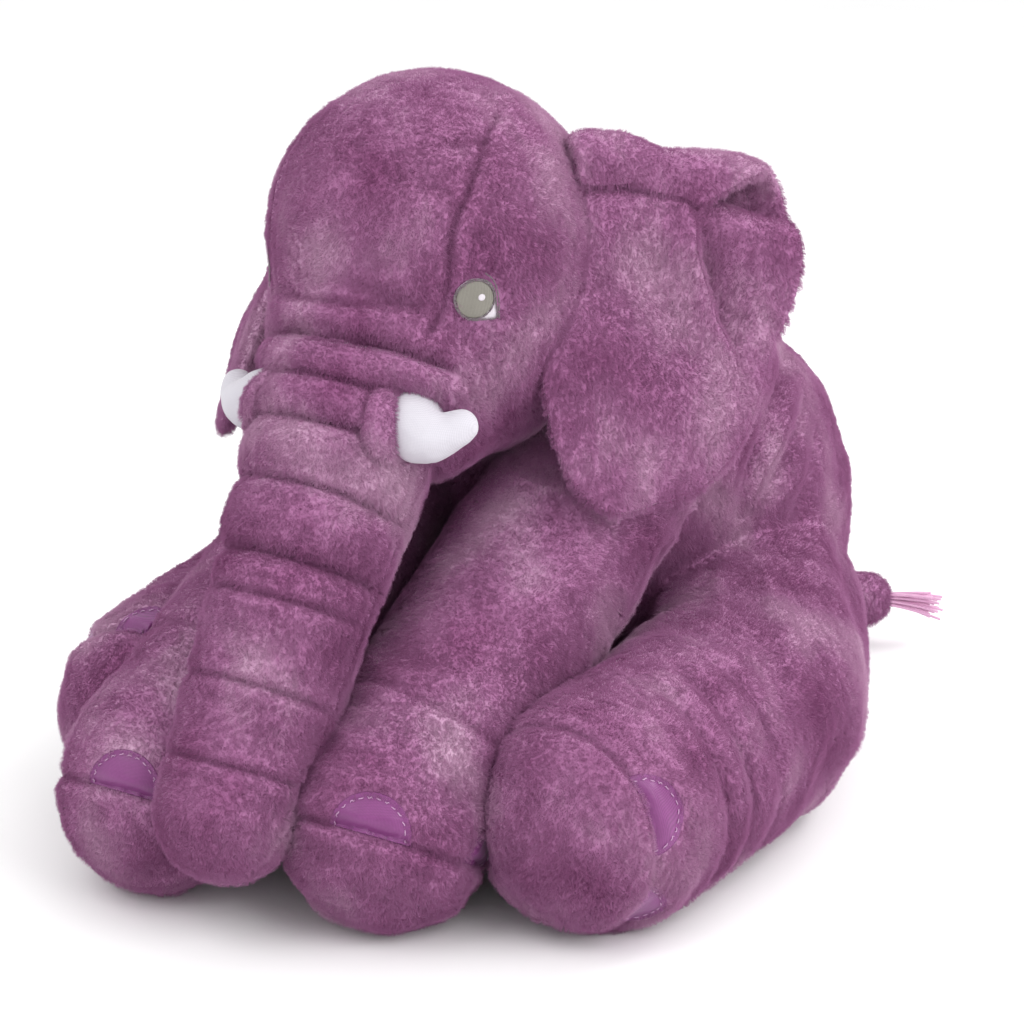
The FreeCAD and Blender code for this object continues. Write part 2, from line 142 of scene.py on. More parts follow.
def spline(points, count, closed=False):
    """A smooth line of count points through the given ones."""
    points = np.asarray(points, float)
    size = len(points)
    position = np.linspace(0, size if closed else size - 1, count, endpoint=not closed)
    base = np.floor(position).astype(int)
    if not closed:
        base = np.minimum(base, size - 2)
    part = (position - base)[:, None]

    def pick(shift):
        index = base + shift
        return points[index % size] if closed else points[np.clip(index, 0, size - 1)]

    before, start, end, after = (pick(shift) for shift in (-1, 0, 1, 2))
    return 0.5 * (2 * start + (end - before) * part
                  + (2 * before - 5 * start + 4 * end - after) * part ** 2
                  + (3 * start - before - 3 * end + after) * part ** 3)


def near_line(points, line):
    """Distance of each point to a line of points, and how far along it is, from 0 to 1."""
    best = np.full(len(points), 1e9)
    place = np.zeros(len(points))
    span = len(line) - 1
    for index in range(span):
        start = line[index]
        step = line[index + 1] - start
        part = np.clip((points - start) @ step / max(step @ step, 1e-12), 0, 1)
        distance = np.linalg.norm(points - start - part[:, None] * step, axis=1)
        closer = distance < best
        best[closer] = distance[closer]
        place[closer] = ((index + part) / span)[closer]
    return best, place


# ---------------------------------------------------------------- meshes


def new_object(name, points, faces):
    mesh = bpy.data.meshes.new(name)
    mesh.from_pydata(np.asarray(points, float).tolist(), [], [list(map(int, face)) for face in faces])
    mesh.validate()
    item = bpy.data.objects.new(name, mesh)
    bpy.context.scene.collection.objects.link(item)
    mesh.shade_smooth()
    return item


def read_vectors(values, field):
    """One vector for each of a mesh's points, faces or normals."""
    flat = np.zeros(len(values) * 3, np.float32)
    values.foreach_get(field, flat)
    return flat.reshape(-1, 3).astype(float)


def points_of(item):
    return read_vectors(item.data.vertices, "co")


def set_points(item, points):
    item.data.vertices.foreach_set("co", np.asarray(points, np.float32).ravel())
    item.data.update()


def normals_of(item):
    return read_vectors(item.data.vertex_normals, "vector")


def skin_of(item):
    """A mesh's points and faces."""
    return points_of(item), [tuple(face.vertices) for face in item.data.polygons]


def joined(name, parts):
    """One object from several sets of points and faces."""
    points, faces = [], []
    for corners, polygons in parts:
        first = len(points)
        points.extend(np.asarray(corners).tolist())
        faces.extend([tuple(first + index for index in polygon) for polygon in polygons])
    return new_object(name, points, faces)


def smooth(item, rounds, keep_size=True):
    """Rounds off a mesh, by default without shrinking it."""
    points = points_of(item)
    here, there = edge_ends(item)
    degree = np.maximum(np.bincount(here, minlength=len(points)), 1)[:, None]
    shares = (0.5, -0.52) if keep_size else (0.5,)
    for _ in range(rounds):
        for share in shares:
            sums = [np.bincount(here, points[there, axis], len(points)) for axis in range(3)]
            points = points + share * (np.stack(sums, axis=1) / degree - points)
    set_points(item, points)


def apply_modifiers(item):
    shown = bpy.context.evaluated_depsgraph_get()
    mesh = bpy.data.meshes.new_from_object(item.evaluated_get(shown))
    item.modifiers.clear()
    item.data = mesh
    mesh.shade_smooth()


def remesh(item, voxel):
    modifier = item.modifiers.new("voxels", "REMESH")
    modifier.mode = "VOXEL"
    modifier.voxel_size = voxel
    apply_modifiers(item)


def subdivide(item):
    item.modifiers.new("finer", "SUBSURF").levels = 1
    item.modifiers["finer"].render_levels = 1
    apply_modifiers(item)


def edge_ends(item):
    """Every edge both ways round: the point it starts at and the point it ends at."""
    edges = np.zeros(len(item.data.edges) * 2, np.int32)
    item.data.edges.foreach_get("vertices", edges)
    edges = edges.reshape(-1, 2)
    return np.concatenate([edges[:, 0], edges[:, 1]]), np.concatenate([edges[:, 1], edges[:, 0]])


def blurred(item, values, rounds):
    """Values on points, averaged with their neighbours again and again."""
    here, there = edge_ends(item)
    degree = np.maximum(np.bincount(here, minlength=len(values)), 1)
    for _ in range(rounds):
        values = 0.5 * values + 0.5 * np.bincount(here, values[there], len(values)) / degree
    return values


def stuffed(item, held, slack, deepest):
    """Blows a skin up as cloth a little too large, held at its seams, and keeps the wrinkles that come."""
    weigh(item, "held", held)
    cloth = item.modifiers.new("filling", "CLOTH")
    cloth.settings.quality = 4
    cloth.settings.vertex_group_mass = "held"
    cloth.settings.use_pressure = True
    cloth.settings.uniform_pressure_force = 4.0
    cloth.settings.effector_weights.gravity = 0.0
    cloth.settings.bending_stiffness = 0.4
    cloth.settings.shrink_min = -slack
    cloth.settings.shrink_max = -slack
    cloth.collision_settings.use_collision = False
    cloth.point_cache.frame_start = 1
    cloth.point_cache.frame_end = CLOTH_FRAMES
    for number in range(1, CLOTH_FRAMES + 1):
        bpy.context.scene.frame_set(number)
    shown = item.evaluated_get(bpy.context.evaluated_depsgraph_get())
    blown = read_vectors(shown.to_mesh().vertices, "co")
    shown.to_mesh_clear()
    item.modifiers.clear()
    item.vertex_groups.clear()
    bpy.context.scene.frame_set(1)
    swell = np.sum((blown - points_of(item)) * normals_of(item), axis=1)
    wrinkle = blurred(item, swell, 2) - blurred(item, swell, 60)
    push(item, deepest * np.tanh(wrinkle / deepest))


def ball(centre, radius, rows=24):
    """Points and faces of a ball, as a helper volume."""
    points = [(0, 0, 1)]
    for row in range(1, rows):
        tilt = math.pi * row / rows
        for column in range(2 * rows):
            turn = math.pi * column / rows
            ring = math.sin(tilt)
            points.append((ring * math.cos(turn), ring * math.sin(turn), math.cos(tilt)))
    points.append((0, 0, -1))
    across = 2 * rows
    faces = [(0, 1 + column, 1 + (column + 1) % across) for column in range(across)]
    for row in range(rows - 2):
        first = 1 + row * across
        for column in range(across):
            after = (column + 1) % across
            faces.append((first + column, first + across + column, first + across + after, first + after))
    last = len(points) - 1
    base = last - across
    faces += [(last, base + (column + 1) % across, base + column) for column in range(across)]
    return np.array(points) * radius + np.asarray(centre), faces


def cad_skin(name, nodes, voxel, rounds, fillers=()):
    """One even, rounded skin round the CAD solids named, and any filler balls."""
    item = joined(name, [skin_of(frame["nodes"][node]) for node in nodes]
                  + [ball(centre, radius) for centre, radius in fillers])
    remesh(item, voxel)
    smooth(item, rounds)
    return item


def paint(item, name, values):
    layer = item.data.attributes.get(name) or item.data.attributes.new(name, "FLOAT", "POINT")
    layer.data.foreach_set("value", np.asarray(values, np.float32))


def push(item, amount):
    set_points(item, points_of(item) + normals_of(item) * np.asarray(amount)[:, None])


def weigh(item, name, weights):
    """A vertex group, used to say where the pile grows."""
    group = item.vertex_groups.new(name=name)
    levels = np.round(np.asarray(weights) * 10).astype(int)
    for level in range(11):
        chosen = np.flatnonzero(levels == level)
        if len(chosen):
            group.add(chosen.tolist(), level / 10, "REPLACE")


def groove(distance, depth, width):
    """A sewn valley with a little swell on each side."""
    return -depth * bump(distance, width) + 0.3 * depth * bump(np.abs(distance) - 2.6 * width, 1.3 * width)


def pillow(place, creases, depth):
    """Rounded swells between creases at the given places, easing out beyond the first and the last."""
    creases = np.asarray(creases, float)
    index = np.clip(np.searchsorted(creases, place) - 1, 0, len(creases) - 2)
    part = (place - creases[index]) / (creases[index + 1] - creases[index])
    inside = (part > 0) & (part < 1)
    part = np.clip(part, 0, 1)
    swell = np.power(np.clip(4 * part * (1 - part), 0, 1), 0.42)
    beyond = np.maximum(creases[0] - place, place - creases[-1])
    return depth * np.where(inside, swell - 0.75, -0.75 * bump(beyond, 7.0 * MM))


def folds(points, direction, length, width, seed):
    """Soft cloth folds that run along a direction: 1 on a ridge and about -1 between ridges."""
    along = unit(direction)
    aside = unit(np.cross(along, (0.3, 0.2, 1.0)))
    third = np.cross(along, aside)
    turned = np.stack([points @ along, points @ aside, points @ third], axis=1)
    value = noise(turned, (length, width, width), seed)
    return 1 - 2.6 * np.abs(value)


def lumps(points, seed):
    """The uneven fill of a soft toy."""
    return 2.2 * MM * noise(points, 0.062, seed) + 0.9 * MM * noise(points, 0.027, seed + 1)


def square_to_disc(count):
    """An even grid over the unit disc, and its faces."""
    line = np.linspace(-1, 1, count)
    line = np.sin(line * math.pi / 2) * 0.5 + line * 0.5
    across, up = np.meshgrid(line, line, indexing="ij")
    round_across = across * np.sqrt(1 - up ** 2 / 2)
    round_up = up * np.sqrt(1 - across ** 2 / 2)
    flat = np.stack([round_across, round_up], axis=-1).reshape(-1, 2)
    number = np.arange(count * count).reshape(count, count)
    corners = (number[:-1, :-1], number[1:, :-1], number[1:, 1:], number[:-1, 1:])
    faces = np.stack(corners, axis=-1).reshape(-1, 4)
    rim = np.concatenate([number[:-1, 0], number[-1, :-1], number[:0:-1, -1], number[0, :0:-1]])
    return flat, faces, rim


def stretched(disc, outline):
    """The unit disc spread to fill a star-shaped outline round its middle."""
    middle = outline.mean(axis=0)
    spokes = outline - middle
    turn = np.arctan2(spokes[:, 1], spokes[:, 0])
    order = np.argsort(turn)
    length = np.linalg.norm(spokes, axis=1)
    reach = np.interp(np.arctan2(disc[:, 1], disc[:, 0]), turn[order], length[order], period=2 * math.pi)
    return middle + disc * reach[:, None]


def tree_of(item):
    return BVHTree.FromPolygons([v.co.copy() for v in item.data.vertices],
                                [tuple(face.vertices) for face in item.data.polygons])


def dropped(points, tree, outward, lift):
    """Points moved along -outward onto a surface, then lifted off it."""
    outward = Vector(outward)
    laid = []
    for point in points:
        start = Vector(point) + outward * 0.06
        place, normal, _, _ = tree.ray_cast(start, -outward)
        if place is None:
            place, normal, _, _ = tree.find_nearest(Vector(point))
        if normal.dot(outward) < 0:
            normal = -normal
        laid.append(place + normal * lift)
    return np.array(laid)


def patch(name, tree, centre, right, up, outline, lift, thick, count=29):
    """A thin cushion of cloth in the shape of an outline, laid on a surface."""
    flat, faces, rim = square_to_disc(count)
    radius = np.linalg.norm(flat, axis=1)
    spread = stretched(flat, outline)
    outward = unit(np.cross(right, up))
    points = np.asarray(centre) + spread[:, :1] * np.asarray(right) + spread[:, 1:] * np.asarray(up)
    crown = thick * np.sqrt(np.clip(1 - radius ** 6, 0, 1))
    low = dropped(points, tree, outward, lift - 0.5 * MM)
    high = low + (crown + 0.5 * MM)[:, None] * outward
    size = len(points)
    sides = [(rim[k], rim[(k + 1) % len(rim)], rim[(k + 1) % len(rim)] + size, rim[k] + size)
             for k in range(len(rim))]
    under = faces[:, ::-1]
    return new_object(name, np.concatenate([low, high]), list(under) + list(faces + size) + sides)


def tube(name, line, radii, columns=28, closed=False, side=(0, 0, 1)):
    """A round tube along a line, with flat ends unless it is closed."""
    line = np.asarray(line, float)
    radii = np.broadcast_to(np.asarray(radii, float), (len(line),))
    if closed:
        step = np.roll(line, -1, axis=0) - np.roll(line, 1, axis=0)
    else:
        step = np.gradient(line, axis=0)
    step /= np.linalg.norm(step, axis=1)[:, None]
    first = np.cross(step, side)
    first /= np.linalg.norm(first, axis=1)[:, None]
    second = np.cross(step, first)
    turn = np.linspace(0, 2 * math.pi, columns, endpoint=False)
    rings = (line[:, None] + radii[:, None, None] * (np.cos(turn)[None, :, None] * first[:, None]
                                                     + np.sin(turn)[None, :, None] * second[:, None]))
    points = rings.reshape(-1, 3)
    rows = len(line)
    faces = []
    for row in range(rows if closed else rows - 1):
        here, there = row * columns, (row + 1) % rows * columns
        for column in range(columns):
            after = (column + 1) % columns
            faces.append((here + column, here + after, there + after, there + column))
    if not closed:
        points = np.concatenate([points, line[:1], line[-1:]])
        start, end = rows * columns, rows * columns + 1
        last = (rows - 1) * columns
        for column in range(columns):
            after = (column + 1) % columns
            faces.append((start, after, column))
            faces.append((end, last + column, last + after))
    return new_object(name, points, faces)


def tubes(name, lines, radii, columns, side=(0, 0, 1)):
    """Several round tubes in one piece."""
    parts = []
    for line in lines:
        item = tube("strand", line, radii, columns, side=side)
        parts.append(skin_of(item))
        bpy.data.objects.remove(item)
    return joined(name, parts)


# ---------------------------------------------------------------- materials


class Shader:
    """A material being built: add() makes a node and sets or links its inputs, by name or as i0, i1."""

    def __init__(self, name):
        self.material = bpy.data.materials.new(name)
        self.material.use_nodes = True
        self.tree = self.material.node_tree
        self.tree.nodes.clear()

    def add(self, kind, settings=None, **inputs):
        node = self.tree.nodes.new("ShaderNode" + kind)
        for key, value in (settings or {}).items():
            setattr(node, key, value)
        for key, value in inputs.items():
            numbered = key[0] == "i" and key[1:].isdigit()
            socket = node.inputs[int(key[1:]) if numbered else key.replace("_", " ")]
            if isinstance(value, bpy.types.NodeSocket):
                self.tree.links.new(value, socket)
            else:
                socket.default_value = value
        return node

    def sum(self, *terms):
        """Weighted sum of (weight, socket) pairs."""
        total = None
        for weight, socket in terms:
            part = self.add("Math", {"operation": "MULTIPLY"}, i0=socket, i1=weight).outputs[0]
            if total is not None:
                part = self.add("Math", {"operation": "ADD"}, i0=total, i1=part).outputs[0]
            total = part
        return total

    def mixed(self, share, first, second, **settings):
        """Two colours put together."""
        node = self.add("Mix", {"data_type": "RGBA", **settings}, i0=share, i6=first, i7=second)
        return node.outputs[2]

    def noise(self, scale, detail=3.0, stretch=(1, 1, 1), turn=(0, 0, 0)):
        place = self.add("TexCoord").outputs["Object"]
        mapped = self.add("Mapping", Vector=place, Scale=stretch, Rotation=turn).outputs[0]
        return self.add("TexNoise", Vector=mapped, Scale=scale, Detail=detail, Roughness=0.6).outputs[0]

    def ramp(self, factor, stops):
        node = self.add("ValToRGB", Fac=factor)
        band = node.color_ramp
        for index, (place, colour) in enumerate(stops):
            element = band.elements[index] if index < 2 else band.elements.new(place)
            element.position = place
            element.color = (*colour, 1)
        return node.outputs[0]

    def finish(self, surface):
        self.add("OutputMaterial", Surface=surface)
        return self.material


def plush(name, dark, middle, light, lean=(0, 0, 0), fibre=False):
    """Short pile: nap that lies this way and that, fine streaks, and a soft sheen."""
    shader = Shader(name)
    nap = shader.noise(14, 1.0, (1, 1, 0.8))
    brushed = shader.noise(60, 2.0, (1.3, 1.3, 0.5), lean)
    streak = shader.noise(330, 3.0, (1, 1, 0.3), lean)
    tone = shader.sum((0.70, nap), (0.14, brushed), (0.16, streak))
    colour = shader.ramp(tone, ((0.33, dark), (0.50, middle), (0.70, light)))
    if fibre:
        # Painted shade: each fibre's colour is darkened toward its root, as if shaded deep in the pile.
        depth = shader.add("HairInfo").outputs["Intercept"]
        tip = shader.ramp(depth, ((0.0, (0.78, 0.68, 0.76)), (0.8, (1.0, 1.0, 1.0))))
        colour = shader.mixed(1.0, colour, tip, blend_type="MULTIPLY")
        body = shader.add("BsdfPrincipled", Base_Color=colour, Roughness=0.62)
        body.inputs["Specular IOR Level"].default_value = 0.25
        through = shader.add("BsdfTranslucent", Color=colour).outputs[0]
        return shader.finish(shader.add("MixShader", i0=0.25, i1=body.outputs[0], i2=through).outputs[0])
    # The pile darkens toward a deeper tone along sewn seams, and as painted shade in the torso's creases
    # and the ear's pocket, as the point attribute says.
    seam_and_painted_shade = shader.add("Attribute", {"attribute_name": "seam_and_painted_shade"}).outputs["Fac"]
    seam_and_shade_tone = tuple(0.45 * part for part in dark)
    colour = shader.mixed(seam_and_painted_shade, colour, (*seam_and_shade_tone, 1))
    rough = shader.add("MapRange", Value=streak, To_Min=0.7, To_Max=0.98).outputs[0]
    height = shader.sum((0.7, streak), (0.5, brushed))
    relief = shader.add("Bump", Strength=0.55, Distance=0.004, Height=height).outputs[0]
    body = shader.add("BsdfPrincipled", Base_Color=colour, Roughness=rough, Normal=relief)
    body.inputs["Specular IOR Level"].default_value = 0.2
    body.inputs["Sheen Weight"].default_value = 0.55
    body.inputs["Sheen Roughness"].default_value = 0.4
    body.inputs["Sheen Tint"].default_value = (1.0, 0.82, 0.96, 1)
    return shader.finish(body.outputs[0])


def woven(name, dark, light, pitch, rough, sheen):
    """Smooth cloth with a fine weave."""
    shader = Shader(name)
    place = shader.add("TexCoord").outputs["Object"]
    warp, weft = (shader.add("TexWave", {"bands_direction": way}, Vector=place, Scale=pitch,
                             Distortion=1.2).outputs[1] for way in "XZ")
    cloud = shader.noise(60, 3.0)
    fine = shader.noise(700, 2.0)
    tone = shader.sum((0.25, warp), (0.25, weft), (0.35, cloud), (0.2, fine))
    colour = shader.ramp(tone, ((0.3, dark), (0.7, light)))
    roughness = shader.add("MapRange", Value=cloud, To_Min=rough - 0.08, To_Max=rough + 0.1).outputs[0]
    height = shader.sum((0.5, warp), (0.5, weft), (0.4, fine))
    relief = shader.add("Bump", Strength=0.12, Distance=0.0005, Height=height).outputs[0]
    body = shader.add("BsdfPrincipled", Base_Color=colour, Roughness=roughness, Normal=relief)
    body.inputs["Sheen Weight"].default_value = sheen
    return shader.finish(body.outputs[0])


DARK_PILE = (0.29, 0.095, 0.225)
MIDDLE_PILE = (0.40, 0.170, 0.330)
LIGHT_PILE = (0.57, 0.365, 0.50)
plush_cloth = plush("plush", DARK_PILE, MIDDLE_PILE, LIGHT_PILE)
plush_fibre = plush("plush_fibre", DARK_PILE, MIDDLE_PILE, LIGHT_PILE, fibre=True)
satin = woven("satin", (0.13, 0.018, 0.11), (0.23, 0.042, 0.20), 420, 0.42, 0.15)
fleece = woven("tusk_fleece", (0.50, 0.48, 0.53), (0.58, 0.56, 0.61), 330, 0.9, 0.2)
sclera = woven("eye_white", (0.50, 0.46, 0.50), (0.68, 0.63, 0.68), 500, 0.5, 0.1)
iris_thread = woven("eye_iris", (0.13, 0.12, 0.10), (0.225, 0.212, 0.182), 520, 0.45, 0.1)
dark_thread = woven("outline_thread", (0.08, 0.06, 0.07), (0.17, 0.13, 0.15), 700, 0.5, 0.1)
pale_thread = woven("pale_thread", (0.40, 0.20, 0.37), (0.56, 0.34, 0.52), 700, 0.6, 0.2)
yarn = woven("yarn", (0.55, 0.24, 0.44), (0.80, 0.50, 0.68), 500, 0.7, 0.3)


def dress(item, material):
    item.data.materials.clear()
    item.data.materials.append(material)


def cover(item, nodes):
    """Makes a skin the stuffed plush cover that stands for the CAD nodes named."""
    dress(item, plush_cloth)
    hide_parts(*nodes)


def grow_pile(item, seed, length=5.0, dense=1.0):
    """Short clumped fibres over a plush piece, denser where its vertex group says so."""
    area = sum(face.area for face in item.data.polygons)
    item.data.materials.append(plush_fibre)
    item.modifiers.new("pile", "PARTICLE_SYSTEM")
    system = item.particle_systems[-1]
    system.seed = seed
    if "pile" in item.vertex_groups:
        system.vertex_group_density = "pile"
    fibres = system.settings
    fibres.type = "HAIR"
    fibres.count = int(area * 90000 * dense)
    fibres.hair_step = 3
    fibres.render_step = 3
    fibres.display_step = 2
    fibres.material = 2
    fibres.child_type = "INTERPOLATED"
    fibres.rendered_child_count = 14
    fibres.child_percent = 1
    fibres.clump_factor = 0.25
    fibres.clump_shape = 0.2
    fibres.roughness_1 = 0.0012
    fibres.roughness_1_size = 0.02
    fibres.roughness_2 = 0.0015
    fibres.roughness_endpoint = 0.0012
    fibres.length_random = 0.4
    fibres.root_radius = 0.30
    fibres.tip_radius = 0.08
    fibres.radius_scale = 0.001
    fibres.use_advanced_hair = True
    speed = length * MM / 4
    fibres.normal_factor = 0.8 * speed
    fibres.object_align_factor = (0.0, 0.12 * speed, -0.4 * speed)
    fibres.factor_random = 0.22 * speed


# ---------------------------------------------------------------- shape of the CAD, in metres

TRUNK_ROOT = hinge["trunk_swing"]
TRUNK_TIP = np.array((0, -0.355, 0.088))
TRUNK_AXIS = unit(TRUNK_TIP - TRUNK_ROOT)
FORE_ROOT = np.array((0.080, -0.033, 0.245))
FOOT = {"foreleg": {"left": np.array((0.070, -0.277, 0.070)), "right": np.array((-0.088, -0.309, 0.070))},
        "hindleg": {"left": np.array((0.183, -0.206, 0.077)), "right": np.array((-0.161, -0.213, 0.077))}}
FOOT_RADIUS = {"foreleg": 0.070, "hindleg": 0.077}
KNEE = np.array((0.187, -0.009, 0.082))
SOLE_FACING = {"foreleg": unit((0, -math.cos(math.radians(60)), -math.sin(math.radians(60)))),
               "hindleg": np.array((0.0, -1.0, 0.0))}
SOLE_OFFSET = {"foreleg": 0.015, "hindleg": 0.035}
NAIL_ROLL = {"foreleg": {"left": -25, "right": -14}, "hindleg": {"left": -136, "right": -6}}
NAIL_SPACING = {"foreleg": 82, "hindleg": 66}
NAIL_RADIUS = 0.027


def mirrored(point, side):
    return np.array((side * point[0], point[1], point[2]))


def mm(*points):
    """Points given in millimetres."""
    return np.array(points, float) * MM


EYE = {name: mm(side * 88, -190, 399) for name, side in SIDES.items()}


# ---------------------------------------------------------------- torso and hind legs

SHOULDER = (mm(0, 55, 252), 142 * MM)
RUMP = (mm(0, 149, 159), 164 * MM)
THIGH = (93 * MM, 82 * MM)
KNEE_CORNER = mm(268, -5, 62)
HEM = 5.0 * MM
# Creases on the left flank, mirrored on the right: points in millimetres, depth and width.
TORSO_CREASES = (
    (((93, 206, 283), (139, 105, 271), (147, 63, 238), (143, 49, 196)), 8.0, 8),
    (((133, 164, 262), (146, 125, 242), (150, 85, 222), (146, 60, 195)), 7.0, 7),
    (((141, 180, 246), (150, 150, 232), (158, 120, 200), (160, 100, 175)), 5.0, 8),
)


def to_capsule(points, start, end, first, last):
    """Distance outside a round-ended bar whose radius runs from first to last."""
    reach = end - start
    part = np.clip((points - start) @ reach / (reach @ reach), 0, 1)
    return np.linalg.norm(points - start - part[:, None] * reach, axis=1) - first - part * (last - first)


def on_left(points):
    """Points with their right half mirrored to the left."""
    return np.concatenate([np.abs(points[:, :1]), points[:, 1:]], axis=1)


def outside_hips(points):
    """Distance of each point outside the torso and outside the nearer hind leg."""
    mirror = on_left(points)
    foot = FOOT["hindleg"]["left"]
    from_torso = to_capsule(points, SHOULDER[0], RUMP[0], SHOULDER[1], RUMP[1])
    from_thigh = to_capsule(mirror, np.abs(hinge["hindleg_left_splay"]), KNEE, *THIGH)
    from_shank = to_capsule(mirror, KNEE, foot, THIGH[1], FOOT_RADIUS["hindleg"])
    return from_torso, np.minimum(from_thigh, from_shank)


def split(item, names, owner):
    """Cuts one skin into closed pieces with a bare hem turned in; owner numbers each face's piece."""
    pieces = []
    for index, name in enumerate(names):
        piece = bpy.data.objects.new(name, item.data.copy())
        bpy.context.scene.collection.objects.link(piece)
        cutter = bmesh.new()
        cutter.from_mesh(piece.data)
        cutter.faces.ensure_lookup_table()
        taken = [face for face in cutter.faces if owner[face.index] != index]
        bmesh.ops.delete(cutter, geom=taken, context="FACES")
        rim = [edge for edge in cutter.edges if edge.is_boundary]
        for edge in rim:
            edge.smooth = False
        cutter.normal_update()
        outward = {tuple(point.co): point.normal.copy() for edge in rim for point in edge.verts}
        turned_in = bmesh.ops.extrude_edge_only(cutter, edges=rim)["geom"]
        for point in (part for part in turned_in if isinstance(part, bmesh.types.BMVert)):
            point.co -= outward[tuple(point.co)] * HEM
        inner_rim = [edge for edge in cutter.edges if edge.is_boundary]
        made = bmesh.ops.holes_fill(cutter, edges=inner_rim, sides=0)["faces"]
        bmesh.ops.triangulate(cutter, faces=made)
        bmesh.ops.recalc_face_normals(cutter, faces=cutter.faces)
        cutter.verts.index_update()
        edge_points = list({point.index for edge in rim + inner_rim for point in edge.verts})
        cutter.to_mesh(piece.data)
        cutter.free()
        piece.vertex_groups["pile"].add(edge_points, 0.0, "REPLACE")
        pieces.append(piece)
    bpy.data.objects.remove(item)
    return pieces


def make_torso_and_hind_legs():
    torso_nodes = ("torso_back_left", "torso_back_right", "torso_belly_panel", "torso_stuffing")
    leg_nodes = {name: leg_parts("hindleg", name) for name in SIDES}
    item = cad_skin("hips", torso_nodes + leg_nodes["left"] + leg_nodes["right"], 0.0055, 22)
    points = points_of(item)
    held = bump(points[:, 0], 3.0 * MM) * ease(points[:, 1], 0.0, 0.05)
    for side_name in SIDES:
        held = np.maximum(held, leg_details("hindleg", side_name, points, 20)[1])
    stuffed(item, held, 0.05, 4.0 * MM)
    subdivide(item)
    points = points_of(item)
    mirror = on_left(points)
    from_torso, from_leg = outside_hips(points)
    body = ease(from_leg - from_torso, -0.03, 0.03)
    amount = lumps(points, 11)
    flank = ease(mirror[:, 0], 0.03, 0.11)
    swathe = folds(mirror, (0.05, -0.157, -0.087), 0.16, 0.034, 21)
    amount += 2.6 * MM * body * flank * swathe * ease(points[:, 2], 0.08, 0.2)
    back_seam = mirror[:, 0]
    behind = ease(points[:, 1], 0.0, 0.05) * body
    amount += groove(back_seam, 3.0 * MM, 3.5 * MM) * behind
    seam_and_painted_shade = bump(back_seam, 2.0 * MM) * behind
    for line, depth, width in TORSO_CREASES:
        distance, place = near_line(mirror, spline(mm(*line), 24))
        strength = np.sin(np.clip(place, 0, 1) * math.pi) ** 0.5
        amount += groove(distance, depth * MM, width * MM) * strength
        # Painted shade: the floor of each flank crease is darkened.
        seam_and_painted_shade = np.maximum(seam_and_painted_shade, 0.35 * bump(distance, 0.6 * width * MM) * strength)
    amount -= 7.0 * MM * bump(np.linalg.norm(mirror - KNEE_CORNER, axis=1), 40 * MM)
    nails = np.zeros(len(points))
    for number, side_name in enumerate(SIDES):
        own = ease(SIDES[side_name] * points[:, 0], 0.0, 0.05) * (1 - body)
        leg_amount, leg_seam, leg_nails = leg_details("hindleg", side_name, points, 20 + number)
        amount += own * leg_amount
        seam_and_painted_shade = np.maximum(seam_and_painted_shade, own * leg_seam)
        nails = np.maximum(nails, leg_nails * own)
    push(item, amount)
    paint(item, "seam_and_painted_shade", 0.7 * seam_and_painted_shade)
    weigh(item, "pile", 1 - nails)
    centres = read_vectors(item.data.polygons, "center")
    from_torso, from_leg = outside_hips(centres)
    owner = np.where(from_leg < from_torso, np.where(centres[:, 0] > 0, 1, 2), 0)
    names = ("torso_plush", "hindleg_left_plush", "hindleg_right_plush")
    torso, *legs = split(item, names, owner)
    cover(torso, torso_nodes)
    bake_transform(torso)
    grow_pile(torso, 1)
    for side_name, leg in zip(SIDES, legs):
        make_toenails(leg, "hindleg", side_name)
        cover(leg, leg_nodes[side_name])
        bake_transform(leg)
        grow_pile(leg, 5 + SIDES[side_name])


# ---------------------------------------------------------------- head

GUSSET_SEAM = ((30, -10, 500), (46, -60, 522), (58, -110, 516), (65, -148, 499), (71, -169, 483),
               (72, -183, 465), (70, -196, 447), (70, -201, 429), (70, -203, 410), (66, -206, 392),
               (62, -213, 378), (58, -224, 363))
FOREHEAD_FOLD = ((22, -198, 486), (53, -175, 493), (74, -145, 494), (92, -110, 486))
MUZZLE_FOLD = ((-58, -205, 388), (-39, -224, 392), (7, -236, 397), (40, -222, 398), (52, -212, 396))
# Down the trunk's axis from its root, in metres.
TRUNK_CREASES = (-0.012, 0.013, 0.042, 0.084, 0.127)
TRUNK_PLEATS = (0.157, 0.214, 0.266)


def head_details(points):
    amount = lumps(points, 31)
    distance, _ = near_line(on_left(points), spline(mm(*GUSSET_SEAM), 60))
    amount += groove(distance, 2.6 * MM, 3.0 * MM)
    seam_and_painted_shade = bump(distance, 1.8 * MM)
    distance, place = near_line(points, spline(mm(*FOREHEAD_FOLD), 20))
    amount += groove(distance, 2.4 * MM, 5.0 * MM) * np.sin(place * math.pi) ** 0.6
    distance, place = near_line(points, spline(mm(*MUZZLE_FOLD), 30))
    amount += groove(distance, 4.0 * MM, 4.5 * MM) * np.sin(np.clip(place, 0.02, 0.98) * math.pi) ** 0.35
    distance = np.linalg.norm(points - mm(32, -203, 477), axis=1)
    amount -= 3.0 * MM * bump(distance, 7.0 * MM)
    for side in SIDES.values():
        distance = np.linalg.norm(points - mm(side * 88, -190, 398), axis=1)
        amount -= 1.6 * MM * ease(distance, 0.024, 0.014)
    return amount, seam_and_painted_shade


